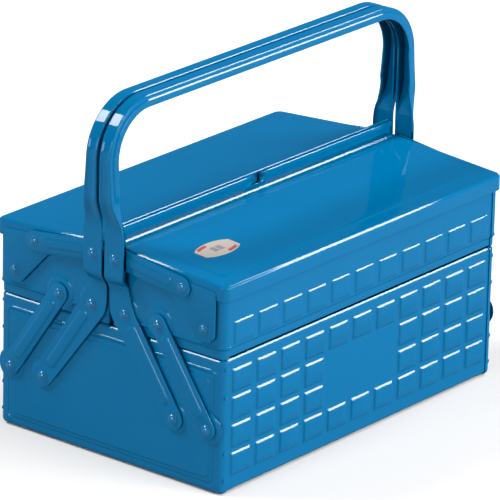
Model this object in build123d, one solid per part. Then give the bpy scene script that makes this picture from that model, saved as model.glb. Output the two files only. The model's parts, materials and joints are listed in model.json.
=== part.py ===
from build123d import *
import math
import os

# Two-level cantilever tool box in enamelled sheet steel. The frame is millimetres: X along the box,
# -Y the front, +Z up, and the origin on the floor under the middle of the box. Every end or side piece
# is drawn once for the +X end and the +Y side and mirrored to where it belongs.

# ---------- driving dimensions ----------
HALF_X = 166.0              # end face of the case
HALF_Y = 109.2              # end-pan flange of the case, front and back
SHEET = 0.8                 # case, tray and lid steel
CORNER_R = 5.0              # vertical corners of the pans
BEND_R = 4.0                # bottom bend
LAP_X = 159.5               # where the wrapped flanges of the end pans stop
LAP = 1.4                   # how far the long sheets reach under those flanges
RUNNER_H = 3.0              # pressed runners under the floor
RUNNER_X = (-129.0, -43.0, 43.0, 129.0)

CASE_TOP = 107.0
TRAY_BOTTOM = 107.5
TRAY_TOP = 161.0
TRAY_HALF_X = HALF_X + 1.0
TRAY_OUT = 110.0            # outer face of the tray pans, from the middle plane
TRAY_IN = 1.0               # inner face, next to the other tray
STEP_Z = 115.7              # the tray narrows below this height
STEP_IN = 1.0

LID_HALF_X = 169.0
LID_OUT = 112.2
LID_IN = 1.2
LID_EDGE_Z = 166.5          # outer edge of the lid
LID_RISE = 8.0              # pitch up to the middle
LID_SKIRT = 12.5
RIDGE_H = 10.0              # upstanding flange at the middle
RIDGE_HALF_X = 167.6
WINDOW_X, WINDOW_Z = 11.0, 7.5     # padlock window through both ridges

PANEL_W, PANEL_H = 23.8, 19.0      # raised panels on the long walls
PANEL_PITCH_X, PANEL_PITCH_Z = 28.75, 22.2
PANEL_COLUMNS = 11
CASE_ROW_Z = (88.9, 66.7, 44.5, 22.3)
TRAY_ROW_Z = 126.6
RAISE = 1.0

# ---------- linkage, as (distance from the middle plane, height) ----------
PIVOT_A = (64.0, 51.5)      # handle arm on the case
PIVOT_C = (96.2, 51.5)      # link on the case
PIVOT_B = (16.2, 122.2)     # handle arm on the tray
PIVOT_D = (48.4, 122.2)     # link on the tray
PIVOT_E = (10.4, 165.8)     # lid arm on the handle
PIVOT_F = (72.0, 158.3)     # lid arm on the lid
PIVOT_G = (92.2, 130.5)     # lid on the tray

# Layers outwards from the end face.
BOSS_FACE = 167.8           # pressed bosses of the case and the tray
LINK_X, LINK_T = 168.1, 1.5
EAR_X, EAR_T = LID_HALF_X, 0.9
ARM_X, ARM_T = 170.2, 1.3
LEG_X, LEG_T = 174.4, 1.6
RIB_H = 0.7
SHANK_R = 2.5
RUN_FIT = 0.05              # radial clearance of a turning hole
OPEN_HOLE_R = 5.6           # ear hole at F, which takes up the lid arm's swing
HEAD_R, HEAD_H = 4.6, 1.4

HANDLE_TOP = 285.0
WEB_X = 183.4               # the bail's channel stands out this far
LEG_IN, GRIP_OUT, KNEE_OUT = 1.3, 11.5, 19.3    # bail edges, and the leg's width at the knee
GRIP_T = 1.3
GRIP_DEPTH = WEB_X - LEG_X
GRIP_R = 44.0
SHOULDER_R = 3.0
SWELL_LOW, SWELL_HIGH = 187.0, 212.0            # the channel rises out of the flat leg between these

os.makedirs("parts", exist_ok=True)


def save(name, *solids):
    """One STEP per sub-part. Each solid of a group stays separate."""
    body = solids[0] if len(solids) == 1 else Compound(children=list(solids))
    body.label = name
    export_step(body, f"parts/{name}.step")


def placed(shape, side_x, side_y):
    """Mirror a piece drawn at +X, +Y to its own end and side."""
    if side_x < 0:
        shape = mirror(shape, about=Plane.YZ)
    if side_y < 0:
        shape = mirror(shape, about=Plane.XZ)
    return shape


def block(x0, x1, y0, y1, z0, z1):
    corner = Pos((x0 + x1) / 2, (y0 + y1) / 2, (z0 + z1) / 2)
    return corner * Box(x1 - x0, y1 - y0, z1 - z0)


def prism_x(outline, x0, x1):
    """A closed (y, z) outline, pushed from x0 to x1."""
    face = make_face(outline)
    return Pos(x0, 0, 0) * extrude(Plane.YZ * face, x1 - x0)


def disc_x(centre, radius, x0, x1):
    turned = Pos((x0 + x1) / 2, centre[0], centre[1]) * Rot(0, 90, 0)
    return turned * Cylinder(radius, x1 - x0)


def dome_x(centre, radius, x0, height):
    """A rivet head with a rounded rim, standing outwards from x0."""
    head = Cylinder(radius, height, align=(Align.CENTER, Align.CENTER, Align.MIN))
    head = fillet(head.edges().group_by(Axis.Z)[-1], height * 0.8)
    return Pos(x0, centre[0], centre[1]) * Rot(0, 90, 0) * head


def bar_outline(start, end, radius):
    """A flat bar with round ends about two points."""
    reach = math.dist(start, end)
    turn = math.degrees(math.atan2(end[1] - start[1], end[0] - start[0]))
    slot = SlotCenterToCenter(reach, 2 * radius) if reach > 0 else Circle(radius)
    return Pos((start[0] + end[0]) / 2, (start[1] + end[1]) / 2) * Rot(0, 0, turn) * slot


def bar(start, end, radius, x0, thick):
    return Pos(x0, 0, 0) * extrude(Plane.YZ * bar_outline(start, end, radius), thick)


def rib(start, end, radius, x0, height):
    """A raised rib with round ends and soft edges."""
    ridge = bar(start, end, radius, x0 - 0.3, height + 0.3)
    return fillet(ridge.edges().group_by(Axis.X)[-1], height * 0.7)


def along(start, end, distance):
    share = distance / math.dist(start, end)
    return (start[0] + (end[0] - start[0]) * share, start[1] + (end[1] - start[1]) * share)


def rounded_prism(half_x, y0, y1, z0, z1, outer_r, inner_r, bend):
    """A closed box with rounded vertical corners and a bent lower edge."""
    solid = block(-half_x, half_x, y0, y1, z0, z1)
    far = [e for e in solid.edges().filter_by(Axis.Z) if abs(e.center().Y - y1) < 0.01]
    solid = fillet(far, outer_r)
    near = [e for e in solid.edges().filter_by(Axis.Z) if abs(e.center().Y - y0) < 0.01]
    solid = fillet(near, inner_r)
    return fillet(solid.faces().sort_by(Axis.Z)[0].edges(), bend)


def panels(row_heights, face_y, columns):
    """Raised panels on a long wall, their outer face RAISE beyond face_y. Returns skin and cavity."""
    skin, cavity = [], []
    for z in row_heights:
        for column in columns(z):
            x = column * PANEL_PITCH_X
            raised = block(x - PANEL_W / 2, x + PANEL_W / 2, face_y - 0.2, face_y + RAISE,
                           z - PANEL_H / 2, z + PANEL_H / 2)
            skin.append(chamfer(raised.faces().sort_by(Axis.Y)[-1].edges(), RAISE * 0.8))
            hollow = block(x - PANEL_W / 2 + 1.6, x + PANEL_W / 2 - 1.6, face_y - SHEET - 0.2,
                           face_y + RAISE - SHEET, z - PANEL_H / 2 + 1.6, z + PANEL_H / 2 - 1.6)
            cavity.append(hollow)
    return skin, cavity


ALL_COLUMNS = range(-(PANEL_COLUMNS // 2), PANEL_COLUMNS // 2 + 1)


def case_columns(z):
    """The two middle rows leave a plain field over three columns."""
    if z in CASE_ROW_Z[1:3]:
        return [c for c in ALL_COLUMNS if abs(c) > 1]
    return list(ALL_COLUMNS)


# ---------- case ----------
WRAP_Y = HALF_Y - SHEET
FLOOR_Z = RUNNER_H


def case_wrap():
    outer = block(-LAP_X - LAP, LAP_X + LAP, -WRAP_Y, WRAP_Y, FLOOR_Z, CASE_TOP)
    low = [e for e in outer.edges().filter_by(Axis.X) if e.center().Z < FLOOR_Z + 1]
    outer = fillet(low, BEND_R - SHEET)
    inner = block(-LAP_X - 9, LAP_X + 9, -WRAP_Y + SHEET, WRAP_Y - SHEET, FLOOR_Z + SHEET, CASE_TOP + 9)
    low = [e for e in inner.edges().filter_by(Axis.X) if e.center().Z < FLOOR_Z + SHEET + 1]
    shell = outer - fillet(low, BEND_R - 2 * SHEET)
    skin, cavity = panels(CASE_ROW_Z, WRAP_Y, case_columns)
    for pressed in skin:
        shell = shell + pressed + mirror(pressed, about=Plane.XZ)
    for hollow in cavity:
        shell = shell - hollow - mirror(hollow, about=Plane.XZ)
    for x in RUNNER_X:
        runner = block(x - 5, x + 5, -WRAP_Y + 8, WRAP_Y - 8, 0, FLOOR_Z + 0.2)
        shell = shell + chamfer(runner.faces().sort_by(Axis.Z)[0].edges(), 2.0)
        shell = shell - block(x - 2.6, x + 2.6, -WRAP_Y + 10.4, WRAP_Y - 10.4, SHEET, FLOOR_Z + 1)
    # The mouth is hemmed inwards.
    for side in (-1, 1):
        edge = side * (WRAP_Y - SHEET)
        shell = shell + block(-LAP_X, LAP_X, *sorted((edge + side * 0.1, edge - side * SHEET)),
                              CASE_TOP - 7, CASE_TOP)
    return shell


def field(half_y, z0, z1, x0, x1, corner):
    """The raised field of an end wall."""
    plate = block(x0, x1, -half_y, half_y, z0, z1)
    plate = fillet(plate.edges().filter_by(Axis.X), corner)
    return chamfer(plate.edges().group_by(Axis.X)[-1], (x1 - x0) * 0.45)


def case_end(side_x):
    outer = rounded_prism(HALF_X, -HALF_Y, HALF_Y, FLOOR_Z - SHEET, CASE_TOP, CORNER_R, CORNER_R, BEND_R)
    outer = outer + field(102.0, 5.5, 98.0, HALF_X - 0.5, HALF_X + 0.5, 6.0)
    inner = rounded_prism(HALF_X - SHEET, -WRAP_Y, WRAP_Y, FLOOR_Z, CASE_TOP + 20,
                          CORNER_R - SHEET, CORNER_R - SHEET, BEND_R - SHEET)
    inner = inner + field(101.0, 6.5, 97.0, HALF_X - 1.2, HALF_X - 0.3, 5.0)
    shell = outer - inner
    shell = shell & block(LAP_X, HALF_X + 2, -200, 200, 0, 300)
    shell = shell + block(HALF_X - 2 * SHEET, HALF_X - SHEET + 0.1, -98, 98, CASE_TOP - 7, CASE_TOP)
    for side in (-1, 1):
        seat = disc_x(PIVOT_C, 12.0, HALF_X - 0.4, BOSS_FACE)
        seat = seat + disc_x(PIVOT_A, 12.0, HALF_X - 0.4, BOSS_FACE)
        holes = disc_x(PIVOT_C, SHANK_R, 150, 180) + disc_x(PIVOT_A, SHANK_R, 150, 180)
        shell = shell + placed(seat, 1, side)
        shell = shell - placed(holes, 1, side)
    return placed(shell, side_x, 1)


def rivet(centre, inside_x, seat_x, head_x):
    """A shouldered rivet: closing head inside, shank, and a domed head outside."""
    tail = disc_x(centre, HEAD_R - 0.6, inside_x - 1.2, inside_x)
    shank = disc_x(centre, SHANK_R, inside_x, head_x + 0.2)
    return tail + shank + dome_x(centre, HEAD_R, head_x, HEAD_H)


LINK_HEAD_X = LINK_X + LINK_T + 0.15


def case_rivets():
    made = []
    for side_x in (-1, 1):
        for side_y in (-1, 1):
            for centre in (PIVOT_A, PIVOT_C):
                made.append(placed(rivet(centre, HALF_X - 0.3 - SHEET * 1.1, BOSS_FACE, LINK_HEAD_X),
                                   side_x, side_y))
    return made


# ---------- trays ----------
TRAY_WRAP_OUT = TRAY_OUT - SHEET
TRAY_WRAP_IN = TRAY_IN + SHEET


def tray_solid(half_x, y0, y1, z0, z1, shrink):
    """A tray's solid form: the full width above, stepped in below STEP_Z."""
    outer_r = CORNER_R + 1 - shrink
    inner_r = 3.0 - shrink
    low_top = STEP_Z + shrink + 0.5
    low = rounded_prism(half_x - STEP_IN, y0, y1 - STEP_IN, z0, low_top, outer_r - 1, inner_r, 2.0 - shrink)
    high = block(-half_x, half_x, y0, y1, STEP_Z + shrink, z1)
    far = [e for e in high.edges().filter_by(Axis.Z) if abs(e.center().Y - y1) < 0.01]
    high = fillet(far, outer_r)
    near = [e for e in high.edges().filter_by(Axis.Z) if abs(e.center().Y - y0) < 0.01]
    return low + fillet(near, inner_r)


def tray_end(side_x, side_y):
    outer = tray_solid(TRAY_HALF_X, TRAY_IN, TRAY_OUT, TRAY_BOTTOM, TRAY_TOP, 0)
    inner = tray_solid(TRAY_HALF_X - SHEET, TRAY_WRAP_IN, TRAY_WRAP_OUT, TRAY_BOTTOM + SHEET,
                       TRAY_TOP + 9, SHEET)
    shell = (outer - inner) & block(LAP_X, TRAY_HALF_X + 1, 0, 200, 0, 300)
    shell = shell + disc_x(PIVOT_D, 12.5, TRAY_HALF_X - 0.4, BOSS_FACE)
    shell = shell + disc_x(PIVOT_B, 12.5, TRAY_HALF_X - 0.4, BOSS_FACE)
    shell = shell & block(0, 200, TRAY_IN, TRAY_OUT, 0, 300)
    for pivot in (PIVOT_B, PIVOT_D, PIVOT_G):
        shell = shell - disc_x(pivot, SHANK_R, 150, 180)
    return placed(shell, side_x, side_y)


def tray_wrap(side_y):
    """Front wall, floor and inner wall of a tray in one bent sheet."""
    reach = LAP_X + LAP
    outer = tray_solid(400, TRAY_WRAP_IN, TRAY_WRAP_OUT, TRAY_BOTTOM + SHEET, TRAY_TOP, SHEET)
    inner = tray_solid(400, TRAY_WRAP_IN + SHEET, TRAY_WRAP_OUT - SHEET, TRAY_BOTTOM + 2 * SHEET,
                       TRAY_TOP + 9, 1.5 * SHEET)
    shell = (outer - inner) & block(-reach, reach, 0, 200, 0, 300)
    skin, cavity = panels((TRAY_ROW_Z,), TRAY_WRAP_OUT, lambda z: ALL_COLUMNS)
    for pressed in skin:
        shell = shell + pressed
    for hollow in cavity:
        shell = shell - hollow
    return placed(shell, 1, side_y)


def tray_rivets(side_y):
    made = []
    for side_x in (-1, 1):
        for centre in (PIVOT_B, PIVOT_D):
            made.append(placed(rivet(centre, TRAY_HALF_X - SHEET, BOSS_FACE, LINK_HEAD_X), side_x, side_y))
        made.append(placed(rivet(PIVOT_G, TRAY_HALF_X - SHEET, 0, EAR_X + EAR_T + 0.15), side_x, side_y))
    return made


def tray_spacers(side_y):
    """Washers that hold the lid ears off the tray ends."""
    made = []
    for side_x in (-1, 1):
        ring = disc_x(PIVOT_G, 6.0, TRAY_HALF_X, EAR_X - 0.2) - disc_x(PIVOT_G, SHANK_R, 150, 180)
        made.append(placed(ring, side_x, side_y))
    return made


# ---------- lids ----------
LID_PITCH = LID_RISE / (LID_OUT - LID_IN)


def lid_height(y):
    return LID_EDGE_Z + (LID_OUT - y) * LID_PITCH


def lid_solid(half_x, y0, y1, drop_top, drop_bottom, corner, bend):
    outline = Polyline((y0, lid_height(y0) - drop_bottom), (y1, lid_height(y1) - drop_bottom),
                       (y1, lid_height(y1) - drop_top), (y0, lid_height(y0) - drop_top), close=True)
    solid = prism_x(outline, -half_x, half_x)
    far = [e for e in solid.edges().filter_by(Axis.Z) if abs(e.center().Y - y1) < 0.01]
    solid = fillet(far, corner)
    top = solid.faces().sort_by(Axis.Z)[-1]
    rim = [e for e in top.edges() if abs(e.center().Y - y0) > 0.5]
    return fillet(rim, bend)


def lid_panel(side_y):
    shell = lid_solid(LID_HALF_X, LID_IN, LID_OUT, 0, LID_SKIRT, CORNER_R + 1.5, 1.6)
    inner = lid_solid(LID_HALF_X - SHEET, LID_IN - 30, LID_OUT - SHEET, SHEET, LID_SKIRT + 20,
                      CORNER_R + 0.7, 0.8)
    shell = shell - inner
    top = lid_height(LID_IN) + RIDGE_H
    ridge = block(-RIDGE_HALF_X, RIDGE_HALF_X, LID_IN, LID_IN + 1.0, lid_height(LID_IN) - SHEET, top)
    hem = block(-RIDGE_HALF_X, RIDGE_HALF_X, LID_IN + 0.9, LID_IN + 2.0, top - 3.2, top)
    hem = fillet(hem.edges().filter_by(Axis.X).sort_by(Axis.Z)[-1], 0.5)
    window = block(-WINDOW_X / 2, WINDOW_X / 2, -1, 9, top - WINDOW_Z - 1.0, top + 1)
    if side_y > 0:
        window = block(-WINDOW_X / 2 + 1, WINDOW_X / 2 - 1, -1, 9, top - WINDOW_Z, top - 2.0)
    shell = shell + ridge + hem - window
    return placed(shell, 1, side_y)


def lid_ear(side_x, side_y):
    """Plate on the lid end: it reaches down to the tray pivot and carries the lid arm's rivet."""
    top_drop = 5.8
    edge_y = 103.0
    outline = Polyline((30.0, lid_height(30.0) - top_drop), (edge_y, lid_height(edge_y) - top_drop),
                       (edge_y, 125.0), (97.0, 119.6), (86.0, 121.2), (59.7, 149.6),
                       (30.0, lid_height(30.0) - LID_SKIRT), close=True)
    plate = prism_x(outline, EAR_X, EAR_X + EAR_T)
    plate = fillet(plate.edges().filter_by(Axis.X).filter_by(lambda e: e.center().Z < 130), 5.0)
    plate = plate - disc_x(PIVOT_G, SHANK_R + RUN_FIT, 150, 180)
    plate = plate - disc_x(PIVOT_F, OPEN_HOLE_R, 150, 180)
    return placed(plate, side_x, side_y)


def lid_label():
    """A lens-shaped sticker on the front lid."""
    middle = (-116.7, 60.6)
    lens = Ellipse(21.0, 10.5) & Rectangle(36.0, 30.0)
    sheet = extrude(lens, 0.2)
    tilt = math.degrees(math.atan(LID_PITCH))
    return Pos(middle[0], -middle[1], lid_height(middle[1])) * Rot(tilt, 0, 0) * sheet


# ---------- links, lid arms and handles ----------
def link(side_x, side_y):
    radius = 8.0
    strip = bar(PIVOT_C, PIVOT_D, radius, LINK_X, LINK_T)
    ends = (along(PIVOT_C, PIVOT_D, 14.0), along(PIVOT_D, PIVOT_C, 14.0))
    strip = strip + rib(*ends, 4.0, LINK_X + LINK_T, RIB_H)
    for pivot in (PIVOT_C, PIVOT_D):
        strip = strip - disc_x(pivot, SHANK_R + RUN_FIT, 150, 180)
    return placed(strip, side_x, side_y)


def lid_arm(side_x, side_y):
    radius = 8.0
    strip = bar(PIVOT_E, PIVOT_F, radius, ARM_X, ARM_T)
    strip = strip + rib(along(PIVOT_E, PIVOT_F, 12.0), along(PIVOT_F, PIVOT_E, 13.0), 3.6,
                        ARM_X + ARM_T, RIB_H)
    strip = strip - disc_x(PIVOT_E, SHANK_R + RUN_FIT, 150, 180)
    strip = strip - disc_x(PIVOT_F, SHANK_R, 150, 180)
    return placed(strip, side_x, side_y)


def lid_arm_rivet(side_x, side_y):
    shank = disc_x(PIVOT_F, SHANK_R, EAR_X + 0.1, ARM_X + ARM_T + 0.2)
    collar = disc_x(PIVOT_F, SHANK_R + 1.0, ARM_X - 0.2, ARM_X)
    return placed(shank + collar + dome_x(PIVOT_F, HEAD_R - 0.4, ARM_X + ARM_T, 0.9), side_x, side_y)


KNEE_LOW, KNEE_HIGH = 140.0, 151.0      # the leg steps outwards between these heights
ARM_HALF = 9.0
CHANNEL_TOP = HANDLE_TOP - GRIP_R
CHANNEL_EDGE = ((KNEE_OUT, SWELL_LOW - 5), (18.3, SWELL_LOW + 2), (14.8, 206.0), (12.4, 228.0),
                (GRIP_OUT, CHANNEL_TOP))


def leg_outline():
    """The flat part of a handle leg seen from the end: pivot A, the tray pivot, then straight up."""
    a, b = PIVOT_A, PIVOT_B
    lean = math.atan2(a[0] - b[0], b[1] - a[1])
    out = (math.cos(lean) * ARM_HALF, math.sin(lean) * ARM_HALF)
    outer_foot = (a[0] + out[0], a[1] + out[1])
    inner_foot = (a[0] - out[0], a[1] - out[1])
    foot = (a[0] + ARM_HALF * math.sin(lean), a[1] - ARM_HALF * math.cos(lean))
    edge = Polyline(inner_foot, (LEG_IN + 2.0, 117.0), (LEG_IN, 124.0), (LEG_IN, SWELL_LOW + 2),
                    CHANNEL_EDGE[1], CHANNEL_EDGE[0], (KNEE_OUT, 155.0), (18.6, 147.0),
                    (b[0] + out[0], b[1] + out[1]), outer_foot)
    round_foot = ThreePointArc(outer_foot, foot, inner_foot)
    return edge + round_foot


def side_slab(*outline):
    """A closed (x, z) outline, wide enough to cut any leg."""
    return Pos(0, 60, 0) * extrude(Plane.XZ * make_face(Polyline(*outline, close=True)), 120, both=True)


def channel():
    """Upper leg: a channel open inwards that rises out of the flat sheet and narrows to the grip."""
    flat = LEG_X + LEG_T
    edge = CHANNEL_EDGE[1:]
    outer = prism_x(Polyline((LEG_IN, edge[0][1]), *edge, (LEG_IN, CHANNEL_TOP), close=True), 150, 200)
    outer = outer & side_slab((LEG_X, SWELL_LOW), (flat, SWELL_LOW), (WEB_X, SWELL_HIGH),
                              (WEB_X, CHANNEL_TOP), (LEG_X, CHANNEL_TOP))
    inner_edge = [(y - GRIP_T, z) for y, z in edge]
    near = LEG_IN + GRIP_T
    hollow = prism_x(Polyline((near, edge[0][1] - 1), *inner_edge, (inner_edge[-1][0], CHANNEL_TOP + 1),
                              (near, CHANNEL_TOP + 1), close=True), 150, 200)
    hollow = hollow & side_slab((LEG_X - 9, SWELL_LOW + 3), (LEG_X, SWELL_LOW + 3),
                                (WEB_X - GRIP_T, SWELL_HIGH + 1), (WEB_X - GRIP_T, CHANNEL_TOP + 1),
                                (LEG_X - 9, CHANNEL_TOP + 1))
    return outer - hollow


def leg(side_x):
    """One leg: low arm close to the case, a joggle clear of the lid arm, and the channel above."""
    low_x = LINK_X
    flat = LEG_X + LEG_T
    slab = side_slab((low_x, 0), (low_x, KNEE_LOW), (LEG_X, KNEE_HIGH), (LEG_X, SWELL_LOW + 2),
                     (flat, SWELL_LOW + 2), (flat, KNEE_HIGH), (low_x + LINK_T, KNEE_LOW - 0.5),
                     (low_x + LINK_T, 0))
    strip = slab & prism_x(leg_outline(), 160, 180)
    strip = strip + rib(along(PIVOT_A, PIVOT_B, 16.0), along(PIVOT_B, PIVOT_A, 14.0), 4.2,
                        low_x + LINK_T, RIB_H)
    strip = strip - disc_x(PIVOT_A, SHANK_R + RUN_FIT, 150, 180)
    strip = strip - disc_x(PIVOT_B, SHANK_R + RUN_FIT, 150, 180)
    strip = strip - disc_x(PIVOT_E, SHANK_R, 150, 180)
    return placed(strip + channel(), side_x, 1)


def grip():
    """The bail: a channel with rounded shoulders, open downwards, swept over both corners."""
    start_z = CHANNEL_TOP
    path = Polyline((WEB_X, 0, start_z - 2), (WEB_X, 0, start_z)) + ThreePointArc(
        (WEB_X, 0, start_z),
        (WEB_X - GRIP_R * (1 - math.cos(math.pi / 4)), 0, start_z + GRIP_R * math.sin(math.pi / 4)),
        (WEB_X - GRIP_R, 0, HANDLE_TOP)) + Line((WEB_X - GRIP_R, 0, HANDLE_TOP), (0, 0, HANDLE_TOP))
    width = GRIP_OUT - LEG_IN
    outer = make_face(Polyline((0, -width / 2), (0, width / 2), (-GRIP_DEPTH, width / 2),
                               (-GRIP_DEPTH, -width / 2), close=True))
    outer = fillet(outer.vertices().sort_by(Axis.X)[-2:], SHOULDER_R)
    inner = make_face(Polyline((-GRIP_T, -width / 2 + GRIP_T), (-GRIP_T, width / 2 - GRIP_T),
                               (-GRIP_DEPTH - 1, width / 2 - GRIP_T),
                               (-GRIP_DEPTH - 1, -width / 2 + GRIP_T), close=True))
    inner = fillet(inner.vertices().sort_by(Axis.X)[-2:], SHOULDER_R - GRIP_T)
    section = outer - inner
    plane = Plane(origin=(WEB_X, 0, start_z - 2), x_dir=(1, 0, 0), z_dir=(0, 0, 1))
    half = Pos(0, (GRIP_OUT + LEG_IN) / 2, 0) * sweep(plane * section, path=path)
    return half + mirror(half, about=Plane.YZ)


def handle(side_y):
    bail = grip() + leg(1) + leg(-1)
    return placed(bail, 1, side_y)


def handle_rivets(side_y):
    """Rivets that carry the lid arms under the handle legs."""
    made = []
    for side_x in (-1, 1):
        tail = disc_x(PIVOT_E, HEAD_R - 0.4, ARM_X - 0.9, ARM_X - 0.1)
        shank = disc_x(PIVOT_E, SHANK_R, ARM_X - 0.5, LEG_X + LEG_T + 0.2)
        collar = disc_x(PIVOT_E, SHANK_R + 1.0, ARM_X + ARM_T + 0.1, LEG_X)
        body = tail + shank + collar + dome_x(PIVOT_E, HEAD_R, LEG_X + LEG_T, HEAD_H)
        made.append(placed(body, side_x, side_y))
    return made


# ---------- write every node ----------
ENDS = {"left": -1, "right": 1}
SIDES = {"front": -1, "rear": 1}

save("case_wrap", case_wrap())
save("case_pivot_rivets", *case_rivets())
for end, side_x in ENDS.items():
    save(f"case_end_{end}", case_end(side_x))
for side, side_y in SIDES.items():
    save(f"tray_{side}_wrap", tray_wrap(side_y))
    save(f"tray_{side}_rivets", *tray_rivets(side_y))
    save(f"tray_{side}_spacers", *tray_spacers(side_y))
    save(f"lid_{side}_panel", lid_panel(side_y))
    save(f"handle_{side}", handle(side_y))
    save(f"handle_{side}_rivets", *handle_rivets(side_y))
    for end, side_x in ENDS.items():
        save(f"tray_{side}_end_{end}", tray_end(side_x, side_y))
        save(f"lid_{side}_ear_{end}", lid_ear(side_x, side_y))
        save(f"link_{side}_{end}", link(side_x, side_y))
        save(f"lid_arm_{side}_{end}", lid_arm(side_x, side_y))
        save(f"lid_arm_rivet_{side}_{end}", lid_arm_rivet(side_x, side_y))
save("lid_front_label", lid_label())
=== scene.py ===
import json
import math

import bmesh
import bpy
import numpy as np
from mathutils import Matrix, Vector


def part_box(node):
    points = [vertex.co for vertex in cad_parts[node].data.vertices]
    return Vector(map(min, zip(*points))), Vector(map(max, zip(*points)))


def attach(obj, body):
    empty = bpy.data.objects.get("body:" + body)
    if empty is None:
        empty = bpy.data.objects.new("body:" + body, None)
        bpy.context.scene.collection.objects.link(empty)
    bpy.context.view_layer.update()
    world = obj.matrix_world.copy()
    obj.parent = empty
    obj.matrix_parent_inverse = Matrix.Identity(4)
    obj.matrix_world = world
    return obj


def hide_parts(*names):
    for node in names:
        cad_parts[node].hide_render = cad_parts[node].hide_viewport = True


# Looks for the two-level tool box. The helpers work in millimetres. Every piece is drawn for the +X end and
# the +Y side, and then mirrored to where it belongs.

MM = 0.001
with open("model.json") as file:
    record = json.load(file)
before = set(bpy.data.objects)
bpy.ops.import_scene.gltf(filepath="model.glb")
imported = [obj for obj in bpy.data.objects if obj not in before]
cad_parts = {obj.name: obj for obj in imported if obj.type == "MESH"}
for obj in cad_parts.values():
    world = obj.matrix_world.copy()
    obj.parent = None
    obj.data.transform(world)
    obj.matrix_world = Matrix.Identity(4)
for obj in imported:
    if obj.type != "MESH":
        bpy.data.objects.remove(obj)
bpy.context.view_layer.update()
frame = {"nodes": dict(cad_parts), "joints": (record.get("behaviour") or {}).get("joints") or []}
joint_at = {j["name"]: j["pos_m"] for j in frame["joints"]}

ENDS = {"left": -1, "right": 1}
SIDES = {"front": -1, "rear": 1}


# ---------- sizes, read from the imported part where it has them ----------
def reach(node, axis):
    """How far a CAD node comes along an axis, in mm."""
    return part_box(node)[1][axis] / MM


def pivot(joint):
    """(distance from the middle plane, height) of a hinge, in mm."""
    return np.array((abs(joint_at[joint][1]), joint_at[joint][2])) / MM


HANDLE_ON_CASE = pivot("handle_rear_hinge")
TRAY_ON_HANDLE = pivot("tray_rear_hinge")
LINK_ON_CASE = pivot("link_rear_right_hinge")
LINK_ON_TRAY = TRAY_ON_HANDLE + LINK_ON_CASE - HANDLE_ON_CASE
ARM_ON_HANDLE = pivot("lid_arm_rear_right_hinge")
LID_ON_TRAY = pivot("lid_rear_hinge")
rivet_low, rivet_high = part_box("lid_arm_rivet_rear_right")
ARM_ON_LID = np.array((rivet_low.y + rivet_high.y, rivet_low.z + rivet_high.z)) / 2 / MM

SHEET = 0.8

# Case: half sizes, heights, and its turned-in rim.
CASE_X = 166.0
CASE_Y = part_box("case_end_right")[1].y / MM
CASE_TOP = reach("case_wrap", 2)
WRAP_X = reach("case_wrap", 0)
WRAP_Y = CASE_Y - SHEET
LAP_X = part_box("case_end_right")[0].x / MM
BOSS_X = reach("case_end_right", 0)
FLOOR_Z = 1.4
RIM_IN, RIM_DOWN, RIM_BEVEL, RIM_R = 2.2, 7.0, 1.2, 0.6
CASE_BOSS_R, TRAY_BOSS_R = 11.6, 12.2
RUNNER_PITCH, RUNNER_HALF, RUNNER_INSET = 86.0, 5.0, 8.0
WELD_HEIGHTS = (100.0, 77.8, 33.4, 11.5)

# The end wall's stepped border: middle, half sizes and corner radius of its two outlines.
BORDER = ((0, 51.9), (103.6, 46.8), 7.0)
FIELD = ((0, 51.5), (97.2, 39.8), 5.0)
GROOVE_IN, GROOVE_W = 3.0, 0.55

# Pressed panels: one row on each tray, four on the case with a plain field in the middle of two of them.
PANEL_W, PANEL_H, PITCH_X = 23.8, 19.0, 28.75
COLUMNS = range(-5, 6)
CASE_ROWS = (88.9, 66.7, 44.5, 22.3)
PLAIN_ROWS, PLAIN_COLUMNS = CASE_ROWS[1:3], range(-1, 2)
TRAY_ROW = 126.6

# Trays, with a small step under the panels.
TRAY_X = CASE_X + 1.0
TRAY_OUT = reach("tray_rear_end_right", 1)
TRAY_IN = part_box("tray_rear_end_right")[0].y / MM
TRAY_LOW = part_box("tray_rear_end_right")[0].z / MM
TRAY_TOP = reach("tray_rear_end_right", 2)
STEP_Z = 115.7
HEM_IN, HEM_DOWN, HEM_R = 2.2, 6.0, 1.1

# Lids: a pitched roof with a skirt, an upstanding ridge and an ear at each end.
LID_X = reach("lid_rear_panel", 0)
LID_OUT = reach("lid_rear_panel", 1)
LID_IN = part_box("lid_rear_panel")[0].y / MM
LID_EDGE, LID_RISE, LID_SKIRT = 166.5, 8.0, 12.5
LID_R, LID_BEVEL = 6.5, 1.5
TOP_INSET = LID_R - 0.1
RIDGE_TOP = reach("lid_rear_panel", 2)
RIDGE_X = 167.6
RIDGE_FOOT = 8.2
EAR_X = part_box("lid_rear_ear_right")[0].x / MM
EAR_T = 0.9

# Links, lid arms and their rivets.
LINK_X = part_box("link_rear_right")[0].x / MM
LINK_T = 1.5
ARM_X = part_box("lid_arm_rear_right")[0].x / MM
ARM_T = 1.3
BAR_R = 8.0
HEAD_R, SMALL_HEAD_R = 4.6, 4.2
HEAD_RISE, LOW_HEAD_RISE = 2.1, 1.3

# Handles: flat legs that turn into a channel, and a grip with round corners.
LEG_X, LEG_T = 174.4, 1.6
WEB_X = reach("handle_rear", 0)
LEG_IN, LEG_OUT, GRIP_OUT, KNEE_OUT = 1.3, 12.0, 11.5, 19.3
FOOT_R = 9.0
GRIP_TOP = reach("handle_rear", 2)
GRIP_R, GRIP_DEPTH, GRIP_T = 44.0, 9.0, 1.3
CHANNEL_R, CHANNEL_FLARE, CHANNEL_GROOVE = 1.3, 1.1, 0.7


# ---------- numbers ----------
def smooth(value):
    """0 to 1 with eased ends."""
    value = np.clip(value, 0, 1)
    return value * value * (3 - 2 * value)


def eased(value, start, over):
    """0 up to the start, 1 once past it by that much."""
    return float(smooth((value - start) / over))


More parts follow.
